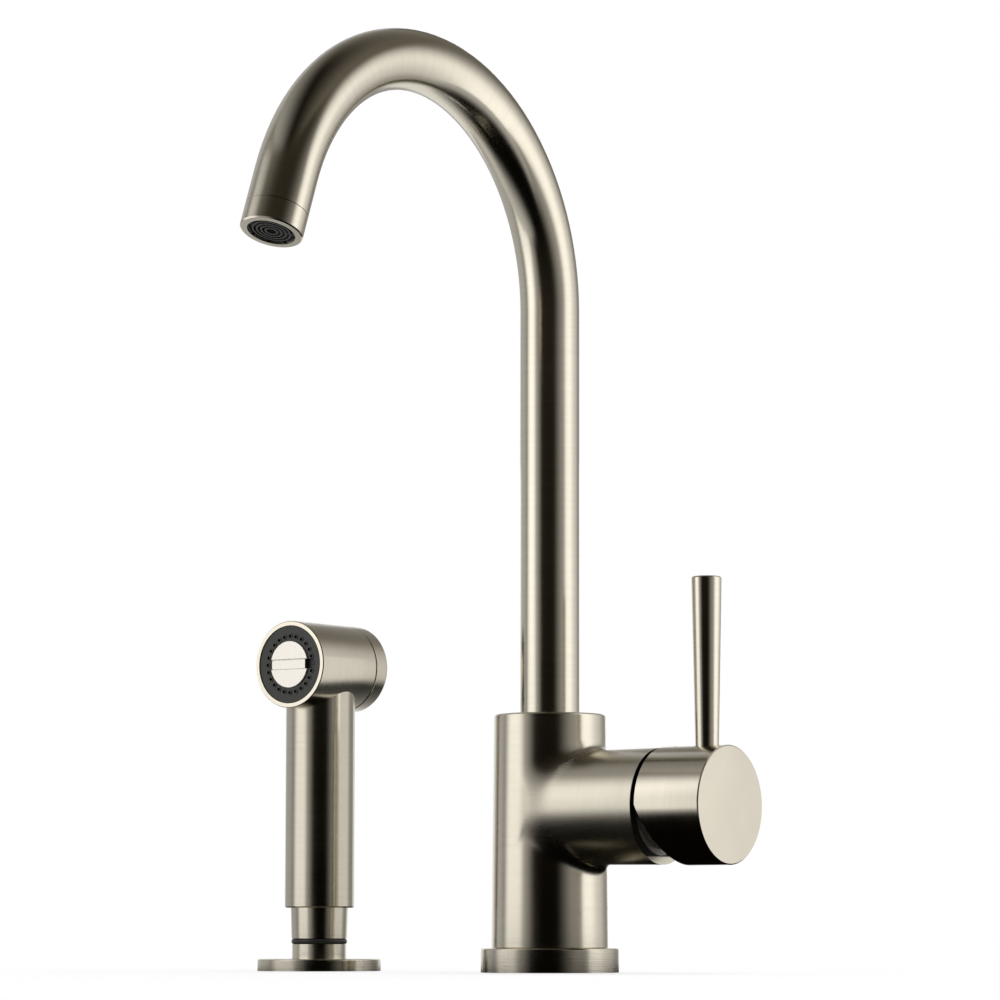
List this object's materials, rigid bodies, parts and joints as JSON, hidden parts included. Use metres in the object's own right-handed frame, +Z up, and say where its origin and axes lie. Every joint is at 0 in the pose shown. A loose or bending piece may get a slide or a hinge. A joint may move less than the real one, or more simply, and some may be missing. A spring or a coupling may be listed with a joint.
{
  "type": "side spray kitchen faucet",
  "caption": "Side-lever kitchen mixer tap with a swivelling gooseneck spout and a separate hand spray that lifts out of its own deck holder, in brushed nickel.",
  "frame": {"origin": "centre of the tap's foot on the worktop, at the mouth of the fixing stud's hole", "axes": "+Z up the tap's axis, -Y towards the user (the spout points that way), +X along the lever barrel, the side spray stands at -X"},
  "size_m": [0.2462, 0.2326, 0.3924],
  "materials": {
    "brushed_nickel": "satin",
    "satin_nickel": "satin",
    "dark_nickel": "satin",
    "black_rubber": "matte",
    "black_plastic": "satin",
    "grey_plastic": "satin",
    "white_plastic": "satin",
    "brass": "satin",
    "ceramic": "satin",
    "spring_steel": "satin"
  },
  "bodies": {
    "tap": {"tap_body": "brushed_nickel", "base_ring": "brushed_nickel", "base_gasket": "black_rubber", "spout_bush": "white_plastic", "spout_stop_screw": "spring_steel", "diverter_sleeve": "brass", "diverter_spring": "spring_steel", "cartridge_base": "grey_plastic", "cartridge_seals": "black_rubber", "fixed_disc": "ceramic", "cartridge_housing": "grey_plastic", "cartridge_nut": "brass", "ball_cap": "dark_nickel", "spray_holder": "brushed_nickel", "holder_gasket": "black_rubber", "holder_liner": "black_plastic"},
    "diverter": {"diverter_piston": "brass", "diverter_seal": "black_rubber"},
    "spout": {"spout_tube": "brushed_nickel", "spout_nipple": "brass", "spout_seals": "black_rubber", "spout_slide_ring": "white_plastic", "aerator_housing": "brushed_nickel", "aerator_insert": "grey_plastic", "aerator_washer": "black_rubber"},
    "cartridge_turn": {"cartridge_rotor": "grey_plastic", "pivot_pin": "spring_steel"},
    "disc": {"disc_carrier": "grey_plastic", "moving_disc": "ceramic"},
    "lever": {"lever_stem": "brass", "lever_hub": "brushed_nickel", "lever_rod": "brushed_nickel", "lever_grub_screw": "spring_steel"},
    "spray": {"hose_nut": "brushed_nickel", "hose_washer": "black_rubber", "spray_handle": "brushed_nickel", "head_shell": "brushed_nickel", "rear_cap": "brushed_nickel", "valve_core": "grey_plastic", "face_plate": "black_plastic", "face_screw": "satin_nickel", "valve_spring": "spring_steel"},
    "spray_valve": {"push_button": "satin_nickel", "valve_stem": "spring_steel", "valve_seal": "black_rubber"}
  },
  "joints": [
    {"name": "spout_swivel", "type": "hinge", "parent": "tap", "child": "spout", "pos_m": [0, 0, 0.09], "axis": [0, 0, 1], "range_deg": [-60, 60]},
    {"name": "lever_temperature", "type": "hinge", "parent": "tap", "child": "cartridge_turn", "pos_m": [0.048, 0, 0.07], "axis": [1, 0, 0], "range_deg": [-45, 45]},
    {"name": "lever_flow", "type": "hinge", "parent": "cartridge_turn", "child": "lever", "pos_m": [0.048, 0, 0.07], "axis": [0, 1, 0], "range_deg": [0, 22]},
    {"name": "disc_slide", "type": "slide", "parent": "cartridge_turn", "child": "disc", "axis": [0, 0, 1], "range_m": [0, 0.0043]},
    {"name": "diverter_lift", "type": "slide", "parent": "tap", "child": "diverter", "axis": [0, 0, 1], "range_m": [0, 0.003], "stiffness_N_per_m": 150, "springref_m": -0.004, "deforming": ["diverter_spring"]},
    {"name": "spray_lift", "type": "slide", "parent": "tap", "child": "spray", "axis": [0, 0, 1], "range_m": [0, 0.2]},
    {"name": "spray_button", "type": "slide", "parent": "spray", "child": "spray_valve", "axis": [0, -1, 0], "range_m": [0, 0.003], "stiffness_N_per_m": 1500, "springref_m": -0.004, "deforming": ["valve_spring"]}
  ],
  "couplings": [
    {"joint": "disc_slide", "follows": "lever_flow", "m_per_rad": 0.011073}
  ]
}
